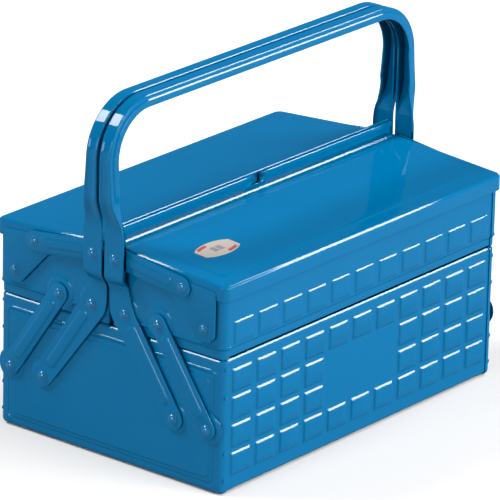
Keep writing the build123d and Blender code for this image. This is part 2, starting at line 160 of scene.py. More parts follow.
def ramp(distance, width):
    """0 to 1 over that width: a straight slope with slightly eased ends."""
    value = np.clip(distance / width, 0, 1)
    return 0.8 * value + 0.2 * smooth(value)


def raised(distance, width):
    """0 outside an outline, 1 once inside it by that width."""
    return ramp(-distance, width)


def outside(x, z, centre, half, corner):
    """Distance outside (positive) or inside (negative) a rounded rectangle."""
    dx = np.abs(x - centre[0]) - half[0] + corner
    dz = np.abs(z - centre[1]) - half[1] + corner
    out = np.hypot(np.maximum(dx, 0), np.maximum(dz, 0))
    return out + np.minimum(np.maximum(dx, dz), 0) - corner


def unit(vector):
    """The vector at length one."""
    return vector / np.linalg.norm(vector)


def along(start, end, distance):
    """The point at that distance from the start, towards the end."""
    return start + unit(end - start) * distance


# Grid lines beside a pressed edge, as distances from it.
EDGE_OFFSETS = (-0.4, 0, 0.4, 0.8, 1.2, 1.6, 2.2)
LID_OFFSETS = (-0.3, 0, 0.3, 0.6, 0.9, 1.2, 1.6)
BORDER_OFFSETS = (-0.3, 0, 0.2, 0.45, 0.7, 1.0, 1.6, 2.1, 2.45, 2.7, 3.0, 3.3, 3.55, 3.9, 4.6)


def lines(start, end, step, marks=(), offsets=EDGE_OFFSETS):
    """Grid lines: evenly spaced, with close ones at (spot, direction) marks."""
    clearance, merge = 0.3, 0.08
    values = list(np.linspace(start, end, max(2, int(abs(end - start) / step) + 1)))
    for spot, direction in marks:
        near = [spot + direction * offset for offset in offsets]
        before, after = min(near) - clearance, max(near) + clearance
        values = [v for v in values if v < before or v > after or v in (start, end)]
        values.extend(v for v in near if start < v < end)
    kept = []
    for value in sorted(values):
        if not kept or value - kept[-1] > merge:
            kept.append(value)
    return kept


# ---------- outlines ----------
def on_straight(value, start, end, room_start, room_end):
    """Whether a value lies on the straight part between two rounded corners."""
    gap = 0.05
    if end > start:
        return start + room_start + gap < value < end - room_end - gap
    return end + room_end + gap < value < start - room_start - gap


def bent(corners, radii, left=False, cuts=None, arc=6):
    """A polyline with rounded corners, as points and the normals on its right (or left) side.

    cuts gives extra points on a straight run: {run number: (coordinate index, values)}.
    """
    corners = [np.array(c, float) for c in corners]
    sign = -1 if left else 1
    points, normals = [], []
    last = len(corners) - 1
    for i, corner in enumerate(corners):
        way_in = unit(corner - corners[i - 1] if i else corners[1] - corner)
        way_out = unit(corners[i + 1] - corner) if i < last else way_in
        start = np.array((way_in[1], -way_in[0])) * sign
        end = np.array((way_out[1], -way_out[0])) * sign
        if i in (0, last):
            points.append(corner)
            normals.append(end)
        else:
            turn = math.atan2(way_in[0] * way_out[1] - way_in[1] * way_out[0], way_in @ way_out)
            bulge = 1 if turn * sign > 0 else -1
            setback = radii[i] * math.tan(abs(turn) / 2)
            centre = corner - way_in * setback - start * bulge * radii[i]
            for step in range(arc + 1):
                angle = turn * step / arc
                cos, sin = math.cos(angle), math.sin(angle)
                normal = np.array((start[0] * cos - start[1] * sin, start[0] * sin + start[1] * cos))
                points.append(centre + normal * bulge * radii[i])
                normals.append(normal)
        if cuts and i in cuts:
            axis, values = cuts[i]
            after = corners[i + 1]
            run = after - corner
            kept = [v for v in values if on_straight(v, corner[axis], after[axis], radii[i], radii[i + 1])]
            for value in sorted(kept, reverse=bool(run[axis] < 0)):
                points.append(corner + run * (value - corner[axis]) / run[axis])
                normals.append(end)
    return np.array(points), np.array(normals)


def stadium(start, end, radius, count=20):
    """Round-ended outline about two (y, z) points."""
    start, end = np.array(start, float), np.array(end, float)
    heading = math.atan2(end[1] - start[1], end[0] - start[0])
    ring = []
    for centre, first in ((end, heading - math.pi / 2), (start, heading + math.pi / 2)):
        for step in range(count + 1):
            angle = first + math.pi * step / count
            ring.append(centre + radius * np.array((math.cos(angle), math.sin(angle))))
    return np.array(ring)


def circle(radius, count):
    """Points round the origin."""
    angles = np.linspace(0, 2 * math.pi, count, endpoint=False)
    return radius * np.column_stack([np.cos(angles), np.sin(angles)])


def at_x(ring, x):
    """A (y, z) outline at one X."""
    return np.column_stack([np.full(len(ring), x), ring])


def walls(path, normals, xs):
    """A bent (y, z) sheet pulled along X: its points and normals."""
    xs = np.array(xs)
    points = np.empty((len(xs), len(path), 3))
    facing = np.zeros_like(points)
    points[..., 0] = xs[:, None]
    points[..., 1:] = path[None]
    facing[..., 1:] = normals[None]
    return points, facing


def pan(plan, plan_normals, profile, profile_normals):
    """A plan outline carried over an (inward offset, height) profile: its points and normals."""
    flat = np.column_stack([plan, np.zeros(len(plan))])
    out = np.column_stack([plan_normals, np.zeros(len(plan))])
    points = flat[:, None] - out[:, None] * profile[None, :, :1]
    points[..., 2] += profile[None, :, 1]
    facing = -out[:, None] * profile_normals[None, :, :1] + np.zeros_like(points)
    facing[..., 2] += profile_normals[None, :, 1]
    return points, facing


# ---------- meshes ----------
SHARP, BAIL_SHARP = 38, 50
MERGE, TINY_EDGE = 1e-6, 1e-7


class Piece:
    """Collects closed skins, in mm, and turns them into one object."""

    def __init__(self):
        self.points = []
        self.faces = []

    def grid(self, rows, around=False):
        """Quads over rows of points. Returns the index of every point."""
        rows = np.asarray(rows, float)
        count_u, count_v = rows.shape[:2]
        first = len(self.points)
        self.points.extend(map(tuple, rows.reshape(-1, 3)))
        index = first + np.arange(count_u * count_v).reshape(count_u, count_v)
        across = count_v if around else count_v - 1
        for i in range(count_u - 1):
            for j in range(across):
                k = (j + 1) % count_v
                self.faces.append((index[i, j], index[i + 1, j], index[i + 1, k], index[i, k]))
        return index

    def bridge(self, one, other):
        """Quads between two index rows of equal length."""
        for i in range(len(one) - 1):
            self.faces.append((one[i], one[i + 1], other[i + 1], other[i]))

    def shell(self, surface, normals, lift=0.0):
        """Sheet metal under a surface raised by the lift, closed round its border."""
        lift = np.broadcast_to(lift, surface.shape[:2])[..., None]
        outer = self.grid(surface + normals * lift)
        inner = self.grid(surface + normals * (lift - SHEET))
        for row in (0, -1):
            self.bridge(outer[row], inner[row])
            self.bridge(outer[:, row], inner[:, row])

    def tube(self, rings):
        """Closed rings, capped at both ends."""
        index = self.grid(rings, around=True)
        self.faces.append(tuple(index[0]))
        self.faces.append(tuple(index[-1]))

    def box(self, low, high):
        """A block between two corners."""
        x0, y0, z0 = low
        x1, y1, z1 = high
        ring = np.array([(x0, y0, 0), (x1, y0, 0), (x1, y1, 0), (x0, y1, 0)], float)
        self.tube([ring + (0, 0, z0), ring + (0, 0, z1)])

    def add(self, other, side_x, side_y):
        """Takes in another piece's skins, mirrored to that end and side."""
        first = len(self.points)
        self.points.extend((x * side_x, y * side_y, z) for x, y, z in other.points)
        self.faces.extend(tuple(i + first for i in face) for face in other.faces)

    def mesh(self, name, side_x=1, side_y=1, sharp=SHARP):
        """The finished object, with smooth shading below the sharp angle."""
        data = bpy.data.meshes.new(name)
        flip = np.array((side_x, side_y, 1)) * MM
        faces = [tuple(map(int, face)) for face in self.faces]
        data.from_pydata((np.array(self.points) * flip).tolist(), [], faces)
        work = bmesh.new()
        work.from_mesh(data)
        bmesh.ops.remove_doubles(work, verts=work.verts, dist=MERGE)
        bmesh.ops.dissolve_degenerate(work, edges=work.edges, dist=TINY_EDGE)
        bmesh.ops.recalc_face_normals(work, faces=work.faces)
        work.to_mesh(data)
        work.free()
        data.set_sharp_from_angle(angle=math.radians(sharp))
        for polygon in data.polygons:
            polygon.use_smooth = True
        piece = bpy.data.objects.new(name, data)
        bpy.context.scene.collection.objects.link(piece)
        return piece


def place(piece, name, node, body, slot, side_x=1, side_y=1, sharp=SHARP):
    """Makes the object, hides the CAD node it stands for, and lets it ride on its body."""
    shown = piece.mesh(name, side_x, side_y, sharp)
    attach(shown, body)
    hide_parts(node)
    shown.data.materials.append(materials[slot])
    return shown


def cut(target, low, high):
    """Cuts a square window through a finished piece."""
    tool = Piece()
    tool.box(low, high)
    cutter = tool.mesh("cutter")
    change = target.modifiers.new("window", "BOOLEAN")
    change.object = cutter
    change.operation = "DIFFERENCE"
    change.solver = "EXACT"
    graph = bpy.context.evaluated_depsgraph_get()
    made = bpy.data.meshes.new_from_object(target.evaluated_get(graph))
    target.modifiers.clear()
    target.data = made
    bpy.data.objects.remove(cutter)


# ---------- pressed and turned shapes, on faces across X ----------
def strap(piece, start, end, x, thick):
    """A flat bar with round ends and eased edges."""
    ease = 0.3
    levels = ((BAR_R - ease, x), (BAR_R, x + ease), (BAR_R, x + thick - ease),
              (BAR_R - ease * 0.3, x + thick - ease * 0.3), (BAR_R - ease, x + thick))
    piece.tube([at_x(stadium(start, end, radius), level) for radius, level in levels])


def rib(piece, start, end, radius, x, height):
    """A pressed rib with round ends and soft shoulders on a flat face."""
    levels = ((0.9, -0.2), (0.9, 0.0), (0.35, 0.1), (0.0, 0.32), (-0.3, 0.62), (-0.75, 0.88), (-1.4, 1.0))
    piece.tube([at_x(stadium(start, end, radius + out), x + height * share) for out, share in levels])


def lathe(piece, centre, profile, count):
    """Turns (radius, x) points round an axis along X."""
    tip = 0.01
    piece.tube([at_x(np.array(centre) + circle(max(radius, tip), count), x) for radius, x in profile])


def boss(piece, centre, radius, face, top):
    """A round pressed seat with a sloping edge."""
    levels = ((1.6, 0), (1.0, 0.12), (0.3, 0.5), (-0.3, 0.88), (-0.9, 1))
    profile = [(radius + 1.6, face - 0.4)]
    profile += [(radius + out, face + (top - face) * share) for out, share in levels]
    lathe(piece, centre, profile, 64)


def rivet(piece, centre, inside_x, head_x, radius=HEAD_R, rise=HEAD_RISE):
    """A closing head inside, a shank, and outside a flat collar with a dome on it."""
    shank, collar, steps = 2.5, 0.25, 8
    dome = radius - 1.0
    profile = [(radius - 0.9, inside_x - 1.2), (radius - 0.6, inside_x - 0.9), (radius - 0.6, inside_x),
               (shank, inside_x), (shank, head_x), (radius - 0.1, head_x), (radius, head_x + 0.1),
               (radius - 0.1, head_x + collar), (dome + 0.1, head_x + collar)]
    ball = (dome * dome + rise * rise) / (2 * rise)
    steep = math.asin(dome / ball)
    for step in range(steps + 1):
        angle = steep * (1 - step / steps)
        profile.append((ball * math.sin(angle), head_x + collar + rise - ball * (1 - math.cos(angle))))
    lathe(piece, centre, profile, 36)


# ---------- materials ----------
BLUE = (0.0, 0.047, 0.110)


def new_material(name, colour, roughness, metallic=0.0, coat=0.0):
    """A plain material with an optional clear coat."""
    material = bpy.data.materials.new(name)
    material.use_nodes = True
    shader = material.node_tree.nodes["Principled BSDF"]
    shader.inputs["Base Color"].default_value = (*colour, 1)
    shader.inputs["Roughness"].default_value = roughness
    shader.inputs["Metallic"].default_value = metallic
    shader.inputs["Coat Weight"].default_value = coat
    shader.inputs["Coat Roughness"].default_value = 0.04
    return material


def noise(material, scale, detail=2.0):
    """The output of a noise pattern that stays on the object."""
    nodes, links = material.node_tree.nodes, material.node_tree.links
    where = nodes.new("ShaderNodeTexCoord")
    pattern = nodes.new("ShaderNodeTexNoise")
    pattern.inputs["Scale"].default_value = scale
    pattern.inputs["Detail"].default_value = detail
    links.new(where.outputs["Object"], pattern.inputs["Vector"])
    return pattern.outputs["Fac"]


def enamel(name, colour, coat):
    """Gloss stove enamel: a slightly uneven colour under a clear, faintly rippled coat."""
    material = new_material(name, colour, 0.4, coat=coat)
    nodes, links = material.node_tree.nodes, material.node_tree.links
    shader = nodes["Principled BSDF"]
    shader.inputs["Specular IOR Level"].default_value = 0.0
    shade = nodes.new("ShaderNodeMix")
    shade.data_type = "RGBA"
    shade.inputs["A"].default_value = (*[c * 0.93 for c in colour], 1)
    shade.inputs["B"].default_value = (*[c * 1.06 for c in colour], 1)
    links.new(noise(material, 14.0, 5.0), shade.inputs["Factor"])
    links.new(shade.outputs["Result"], shader.inputs["Base Color"])
    bump = nodes.new("ShaderNodeBump")
    bump.inputs["Strength"].default_value = 0.02
    bump.inputs["Distance"].default_value = 0.0004
    links.new(noise(material, 420.0), bump.inputs["Height"])
    links.new(bump.outputs["Normal"], shader.inputs["Normal"])
    links.new(bump.outputs["Normal"], shader.inputs["Coat Normal"])
    return material


def zinc():
    """Bright zinc plating with an uneven gloss."""
    material = new_material("zinc_steel", (0.55, 0.56, 0.58), 0.34, metallic=1.0)
    nodes, links = material.node_tree.nodes, material.node_tree.links
    spread = nodes.new("ShaderNodeMapRange")
    spread.inputs["To Min"].default_value = 0.26
    spread.inputs["To Max"].default_value = 0.46
    links.new(noise(material, 900.0), spread.inputs["Value"])
    links.new(spread.outputs["Result"], nodes["Principled BSDF"].inputs["Roughness"])
    return material


materials = {
    "blue_enamel": enamel("blue_enamel", BLUE, 0.17),
    "rivet_enamel": enamel("rivet_enamel", BLUE, 0.45),
    "zinc_steel": zinc(),
    "label_print": new_material("label_print", (0.150, 0.132, 0.118), 0.4),
}
print_red = new_material("label_red", (0.13, 0.018, 0.022), 0.4)
print_grey = new_material("label_grey", (0.075, 0.075, 0.085), 0.4)


# ---------- case ----------
def panel_marks(columns):
    """Grid marks at the left and right edges of a row of panels."""
    marks = []
    for column in columns:
        marks.append((column * PITCH_X - PANEL_W / 2, 1))
        marks.append((column * PITCH_X + PANEL_W / 2, -1))
    return marks


def row_marks(rows):
    """Grid marks at the lower and upper edges of rows of panels."""
    marks = []
    for row in rows:
        marks.append((row - PANEL_H / 2, 1))
        marks.append((row + PANEL_H / 2, -1))
    return marks


def panel_lift(x, z, row, columns, height, edge):
    """Height of one row of raised panels: a crisp upper edge and softer sides."""
    lift = np.zeros_like(x)
    upper = ramp(row + PANEL_H / 2 - z, edge)
    lower = smooth((z - row + PANEL_H / 2) / 3.0)
    for column in columns:
        sides = smooth((PANEL_W / 2 - np.abs(x - column * PITCH_X)) / 2.0)
        lift = np.maximum(lift, height * np.minimum(np.minimum(upper, lower), sides))
    return lift


def build_case_wrap():
    """Front, floor and back in one sheet, with pressed panels and runners."""
    zs = lines(8, CASE_TOP - 3, 12, row_marks(CASE_ROWS))
    ys = lines(-100, 100, 14, [(-WRAP_Y + RUNNER_INSET, 1), (WRAP_Y - RUNNER_INSET, -1)])
    rim = [(WRAP_Y, CASE_TOP - RIM_BEVEL), (WRAP_Y - RIM_BEVEL, CASE_TOP), (WRAP_Y - RIM_IN, CASE_TOP),
           (WRAP_Y - RIM_IN, CASE_TOP - RIM_DOWN)]
    half = [(WRAP_Y, FLOOR_Z)] + rim
    corners = [(-y, z) for y, z in reversed(half)] + half
    floor_bend = 3.2
    half_radii = (floor_bend, RIM_R, RIM_R, RIM_R, 0)
    path, normals = bent(corners, half_radii[::-1] + half_radii, cuts={3: (1, zs), 4: (0, ys), 5: (1, zs)})
    runners = [RUNNER_PITCH * number for number in (-1.5, -0.5, 0.5, 1.5)]
    runner_marks = [(x + side * RUNNER_HALF, -side) for x in runners for side in (-1, 1)]
    points, facing = walls(path, normals, lines(-WRAP_X, WRAP_X, 12, panel_marks(COLUMNS) + runner_marks))
    x, y, z = points[..., 0], points[..., 1], points[..., 2]
    lift = np.zeros_like(x)
    for row in CASE_ROWS:
        columns = [c for c in COLUMNS if row not in PLAIN_ROWS or c not in PLAIN_COLUMNS]
        lift = np.maximum(lift, panel_lift(x, z, row, columns, 1.3, 1.5))
    lift = np.where(np.abs(y) > WRAP_Y - 0.1, lift, 0)
    for runner in runners:
        around = outside(x, y, (runner, 0), (RUNNER_HALF, WRAP_Y - RUNNER_INSET), RUNNER_HALF - 0.2)
        lift = np.where(z < FLOOR_Z + 0.01, np.maximum(lift, FLOOR_Z * raised(around, 2.2)), lift)
    piece = Piece()
    piece.shell(points, facing, lift)
    place(piece, "case_wrap_sheet", "case_wrap", "case", "blue_enamel")


def border_lift(y, z):
    """The stepped border round the end wall's field, with a groove in it."""
    outer = outside(y, z, *BORDER)
    inner = outside(y, z, *FIELD)
    groove = np.exp(-((outer + GROOVE_IN) / GROOVE_W) ** 2)
    return 0.65 * raised(outer, 0.75) + 0.55 * raised(inner, 0.65) - 0.6 * groove


def weld_dot(piece, side_y, height):
    """A spot weld where the end pan laps over the front or back."""
    rings = []
    for radius, rise in ((1.9, -0.3), (1.9, 0), (1.5, 0.14), (0.9, 0.28), (0.3, 0.34)):
        ring = circle(radius, 20)
        wall = np.full(len(ring), side_y * (CASE_Y + rise))
        rings.append(np.column_stack([LAP_X + 2.6 + ring[:, 0], wall, height + ring[:, 1]]))
    piece.tube(rings)


def build_case_end(end, side_x):
    """An end pan: its wall with a stepped border, its flanges, the pivot seats and the spot welds."""
    y_marks, z_marks = [], []
    for (_, middle_z), (half_y, half_z), _ in (BORDER, FIELD):
        y_marks += [(-half_y, 1), (half_y, -1)]
        z_marks += [(middle_z + half_z, -1), (middle_z - half_z, 1)]
    ys = lines(-101, 101, 12, y_marks, BORDER_OFFSETS)
    zs = lines(8, 103, 12, z_marks, BORDER_OFFSETS)
    corner, foot_bend, foot = 5.0, 4.0, 4.8
    plan, plan_normals = bent(((LAP_X, -CASE_Y), (CASE_X, -CASE_Y), (CASE_X, CASE_Y), (LAP_X, CASE_Y)),
                              (0, corner, corner, 0), cuts={1: (1, ys)}, arc=8)
    profile, profile_normals = bent(((RIM_IN, CASE_TOP - RIM_DOWN), (RIM_IN, CASE_TOP),
                                     (RIM_BEVEL, CASE_TOP), (0, CASE_TOP - RIM_BEVEL),
                                     (0, FLOOR_Z - SHEET), (foot + 0.1, FLOOR_Z - SHEET)),
                                    (0, RIM_R, RIM_R, RIM_R, foot_bend, 0), cuts={3: (1, zs)})
    points, facing = pan(plan, plan_normals, profile, profile_normals)
    flat_end = (points[..., 0] > CASE_X - 0.01) & (facing[..., 0] > 0.99)
    piece = Piece()
    piece.shell(points, facing, np.where(flat_end, border_lift(points[..., 1], points[..., 2]), 0))
    piece.box((LAP_X, foot - CASE_Y, FLOOR_Z - SHEET), (CASE_X - foot, CASE_Y - foot, FLOOR_Z))
    for side_y in (-1, 1):
        for centre in (HANDLE_ON_CASE, LINK_ON_CASE):
            boss(piece, centre * (side_y, 1), CASE_BOSS_R, CASE_X + 1.0, BOSS_X)
        for height in WELD_HEIGHTS:
            weld_dot(piece, side_y, height)
    place(piece, f"case_end_{end}_pan", f"case_end_{end}", "case", "blue_enamel", side_x)


# ---------- trays ----------
def build_tray_wrap(side, side_y):
    """Outer wall with its panels, floor and inner wall in one sheet."""
    wall = TRAY_OUT - SHEET
    inner = TRAY_IN + SHEET
    bottom = TRAY_LOW + SHEET
    zs = lines(TRAY_LOW + 2, TRAY_TOP - 2, 12, row_marks([TRAY_ROW]))
    corners = ((wall - HEM_IN, TRAY_TOP - HEM_DOWN), (wall - HEM_IN, TRAY_TOP), (wall, TRAY_TOP),
               (wall, STEP_Z + 0.6), (wall - 1, STEP_Z - 0.6), (wall - 1, bottom), (inner, bottom),
               (inner, TRAY_TOP), (inner + HEM_IN, TRAY_TOP), (inner + HEM_IN, TRAY_TOP - HEM_DOWN))
    radii = (0, HEM_R, HEM_R, 0.5, 0.5, 1.8, 2.0, HEM_R, HEM_R, 0)
    path, normals = bent(corners, radii, left=True, cuts={2: (1, zs)})
    points, facing = walls(path, normals, lines(-WRAP_X, WRAP_X, 12, panel_marks(COLUMNS)))
    x, y, z = points[..., 0], points[..., 1], points[..., 2]
    piece = Piece()
    piece.shell(points, facing, np.where(y > wall - 0.01, panel_lift(x, z, TRAY_ROW, COLUMNS, 1.0, 1.1), 0))
    place(piece, f"tray_{side}_wrap_sheet", f"tray_{side}_wrap", f"tray_{side}", "blue_enamel", 1, side_y)


def build_tray_end(side, side_y, end, side_x):
    """An end pan with a bead over its step, and two pivot seats."""
    plan, plan_normals = bent(((LAP_X, TRAY_OUT), (TRAY_X, TRAY_OUT), (TRAY_X, TRAY_IN), (LAP_X, TRAY_IN)),
                              (0, 6.0, 3.0, 0), left=True, arc=8)
    step_in, foot = 1.0, 2.8
    profile, profile_normals = bent(((HEM_IN, TRAY_TOP - HEM_DOWN), (HEM_IN, TRAY_TOP), (0, TRAY_TOP),
                                     (0, STEP_Z + 2.6), (-0.5, STEP_Z + 1.9), (-0.5, STEP_Z + 0.9),
                                     (step_in, STEP_Z - 0.5), (step_in, TRAY_LOW), (foot + 0.1, TRAY_LOW)),
                                    (0, HEM_R, HEM_R, 0.2, 0.2, 0.3, 0.45, 1.7, 0))
    piece = Piece()
    piece.shell(*pan(plan, plan_normals, profile, profile_normals))
    piece.box((LAP_X, TRAY_IN + foot, TRAY_LOW), (TRAY_X - foot, TRAY_OUT - foot, TRAY_LOW + SHEET))
    boss(piece, TRAY_ON_HANDLE, TRAY_BOSS_R, TRAY_X, BOSS_X)
    boss(piece, LINK_ON_TRAY, TRAY_BOSS_R, TRAY_X, BOSS_X)
    place(piece, f"tray_{side}_end_{end}_pan", f"tray_{side}_end_{end}", f"tray_{side}", "blue_enamel",
          side_x, side_y)


# ---------- lids ----------
def lid_height(y):
    """Height of the pitched roof."""
    return LID_EDGE + (LID_OUT - y) * LID_RISE / (LID_OUT - LID_IN)


def lid_edge(piece):
    """The skirt and the bevelled edge on three sides."""
    plan, plan_normals = bent(((-LID_X, LID_IN), (-LID_X, LID_OUT), (LID_X, LID_OUT), (LID_X, LID_IN)),
                              (0, LID_R, LID_R, 0), left=True, arc=10)
    profile, profile_normals = bent(((1.8, -LID_SKIRT + 4), (1.8, -LID_SKIRT), (0, -LID_SKIRT),
                                     (0, -LID_BEVEL), (LID_BEVEL, 0), (TOP_INSET, 0)),
                                    (0, 0.9, 0.9, 1.2, 1.2, 0), left=True, arc=8)
    points, facing = pan(plan, plan_normals, profile, profile_normals)
    points[..., 2] += lid_height(points[..., 1])
    piece.shell(points, facing)


def lid_top(piece):
    """The roof: a slightly raised field, and a step up to the foot of the ridge."""
    half_x, out_y = LID_X - TOP_INSET, LID_OUT - TOP_INSET
    field_x, field_in, field_out = 154.6, 14.0, LID_OUT - 13.5
    xs = lines(-half_x, half_x, 14, [(-field_x, 1), (field_x, -1)], LID_OFFSETS)
    ys = lines(LID_IN, out_y, 12, [(field_in, 1), (field_out, -1), (RIDGE_FOOT, -1)], LID_OFFSETS)
    x, y = np.meshgrid(xs, ys, indexing="ij")
    points = np.stack([x, y, lid_height(y)], axis=-1)
    facing = np.zeros_like(points)
    facing[..., 2] = 1
    middle = (field_in + field_out) / 2
    around = outside(x, y, (0, middle), (field_x, field_out - middle), 6.0)
    piece.shell(points, facing, 0.3 * smooth(-around / 1.6) + 1.2 * ramp(RIDGE_FOOT - y, 0.9))


def lid_ridge(piece):
    """The upstanding ridge flange with its rolled hem."""
    hem = 1.15
    path, normals = bent(((LID_IN + 2 * hem, RIDGE_TOP - 3.6), (LID_IN + 2 * hem, RIDGE_TOP),
                          (LID_IN, RIDGE_TOP), (LID_IN, lid_height(LID_IN) - SHEET)),
                         (0, hem, hem, 0), arc=8)
    piece.shell(*walls(path, normals, lines(-RIDGE_X, RIDGE_X, 24)))


def build_lid(side, side_y):
    """Roof and ridge, with the hasp window: a notch in the front ridge, a slot in the rear one."""
    roof = Piece()
    lid_edge(roof)
    lid_top(roof)
    ridge = Piece()
    lid_ridge(ridge)
    place(roof, f"lid_{side}_sheet", f"lid_{side}_panel", f"lid_{side}", "blue_enamel", 1, side_y)
    shown = place(ridge, f"lid_{side}_ridge", f"lid_{side}_panel", f"lid_{side}", "blue_enamel", 1, side_y)
    if side == "front":
        cut(shown, (-5.5, -9, RIDGE_TOP - 8.2), (5.5, 0, RIDGE_TOP + 4))
    else:
        cut(shown, (-4.5, 0, RIDGE_TOP - 7.5), (4.5, 9, RIDGE_TOP - 2.4))


def build_ear(side, side_y, end, side_x):
    """The end plate that reaches down to the lid's pivot."""
    drop, back, middle, edge = 5.8, 30.0, 66.0, 103.0
    outline, _ = bent(((middle, lid_height(middle) - drop), (edge, lid_height(edge) - drop), (edge, 125.0),
                       (97.0, 119.6), (86.0, 121.2), (59.7, 149.6), (back, lid_height(back) - LID_SKIRT),
                       (back, lid_height(back) - drop), (middle, lid_height(middle) - drop)),
                      (0, 2.5, 5.0, 5.0, 5.0, 3.0, 1.5, 1.5, 0), arc=6)
    outline = outline[:-1]
    heading = np.roll(outline, -1, 0) - np.roll(outline, 1, 0)
    inward = np.column_stack([heading[:, 1], -heading[:, 0]])
    inward /= np.linalg.norm(inward, axis=1)[:, None]
    ease = 0.3
    face = EAR_X + EAR_T
    levels = ((ease, EAR_X - 0.05), (0, EAR_X + 0.1), (0, face - ease), (ease * 0.3, face - ease * 0.3),
              (ease, face))
    piece = Piece()
    piece.tube([at_x(outline + inward * offset, x) for offset, x in levels])
    place(piece, f"lid_{side}_ear_{end}_plate", f"lid_{side}_ear_{end}", f"lid_{side}", "blue_enamel",
          side_x, side_y)


def label_patch(name, outline, up, material):
    """A thin flat patch on the front lid, its outline given from the label's middle."""
    middle_x, middle_y = -116.7, -60.6
    piece = Piece()
    rings = []
    for level in (up, up + 0.12):
        ring = [(middle_x + u, middle_y + v, lid_height(-middle_y - v) + level) for u, v in outline]
        rings.append(np.array(ring))
    piece.tube(rings)
    shown = piece.mesh(name)
    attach(shown, "lid_front")
    shown.data.materials.append(material)
    return shown


def lens_edge(grow, start, end, count):
    """Upper edge of the label's lens shape between two distances from its middle."""
    long_r, short_r = 23.0, 11.0
    return [(u, (short_r + grow) * math.sqrt(1 - (u / long_r) ** 2)) for u in np.linspace(start, end, count)]


def build_label():
    """A plain lens-shaped sticker with blank colour blocks."""
    half, film_up, print_up = 19.8, 0.42, 0.52
    upper = lens_edge(0, half, -half, 24)
    lower = [(-u, -v) for u, v in upper]
    film = label_patch("lid_front_label_film", upper + lower, film_up, materials["label_print"])
    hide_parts("lid_front_label")
    band = lens_edge(-1.4, -4.0, -15.5, 10)
    band += [(u, v - 3.0) for u, v in reversed(band)]
    label_patch("lid_front_label_band_upper", band, print_up, print_red)
    label_patch("lid_front_label_band_lower", [(-u, -v) for u, v in band], print_up, print_red)
    for name, start, end in (("left", -5.5, -0.6), ("right", 1.0, 5.5)):
        block = [(start, -3.4), (end, -3.4), (end, 3.4), (start, 3.4)]
        label_patch(f"lid_front_label_block_{name}", block, print_up, print_grey)


# ---------- links, lid arms and handles ----------
def build_link(side, side_y, end, side_x):
    """A ribbed bar between the case and a tray."""
    piece = Piece()
    low, high = LINK_ON_CASE, LINK_ON_TRAY
    strap(piece, low, high, LINK_X, LINK_T)
    rib(piece, along(low, high, 14.0), along(high, low, 14.0), 4.0, LINK_X + LINK_T, 0.7)
    place(piece, f"link_{side}_{end}_bar", f"link_{side}_{end}", f"link_{side}_{end}_body", "blue_enamel",
          side_x, side_y)


def build_lid_arm(side, side_y, end, side_x):
    """A ribbed bar between a handle and its lid, and the rivet at the lid."""
    piece = Piece()
    low, high = ARM_ON_HANDLE, ARM_ON_LID
    strap(piece, low, high, ARM_X, ARM_T)
    rib(piece, along(low, high, 12.0), along(high, low, 13.0), 3.6, ARM_X + ARM_T, 0.6)
    place(piece, f"lid_arm_{side}_{end}_bar", f"lid_arm_{side}_{end}", f"lid_arm_{side}_{end}_body",
          "blue_enamel", side_x, side_y)
    piece = Piece()
    rivet(piece, high, EAR_X + 0.7, ARM_X + ARM_T, SMALL_HEAD_R, LOW_HEAD_RISE)
    place(piece, f"lid_arm_rivet_{side}_{end}_head", f"lid_arm_rivet_{side}_{end}",
          f"lid_arm_{side}_{end}_body", "rivet_enamel", side_x, side_y)


def channel(width, depth, round_r, thick, groove, flare):
    """Closed section of the bail as (across, outwards) points, the same number for every section.

    It is a channel that opens inwards. Its face has round shoulders and a groove along its middle. A flare
    puts a bead on its far wall, which steps that wall outwards.
    """
    drop = min(round_r, depth * 0.9)
    wall = depth - drop
    bead = 3.3
    middle = width / 2
    arc = [math.pi / 2 * step / 8 for step in range(9)]
    outer = [(0, -depth), (0, -drop - wall * 0.5)]
    outer += [(round_r - round_r * math.cos(a), -drop + drop * math.sin(a)) for a in arc]
    outer += [(middle + (middle - round_r) * f, 0) for f in (-0.85, -0.7, -0.5, 0, 0.5, 0.7, 0.85)]
    outer += [(width - round_r + round_r * math.sin(a), -drop + drop * math.cos(a)) for a in arc]
    outer += [(width, -bead if flare else -drop - wall * 0.3),
              (width + flare * 0.1, -bead - flare * 0.04),
              (width + flare * 0.92, -bead - flare * 0.8),
              (width + flare, -bead - flare if flare else -drop - wall * 0.9),
              (width + flare, -depth)]
    tight = max(min(round_r - thick, depth - thick), 0.0)
    room = thick + tight
    inner = [(width + flare - thick, -depth), (width - thick, -room)]
    inner += [(width - room + tight * math.cos(a), -room + tight * math.sin(a)) for a in arc]
    inner += [(middle + (middle - room) * f, -thick) for f in (0.8, 0.4, 0, -0.4, -0.8)]
    inner += [(room - tight * math.sin(a), -room + tight * math.cos(a)) for a in arc]
    inner += [(thick, -depth)]
    groove_half = min(4.2, middle - 1.6)
    section = []
    for across, out in outer + inner:
        if out > -max(round_r, thick) - 0.01:
            out = out - groove * float(raised(abs(across - middle) - groove_half, 1.3))
        section.append((across, out))
    return section


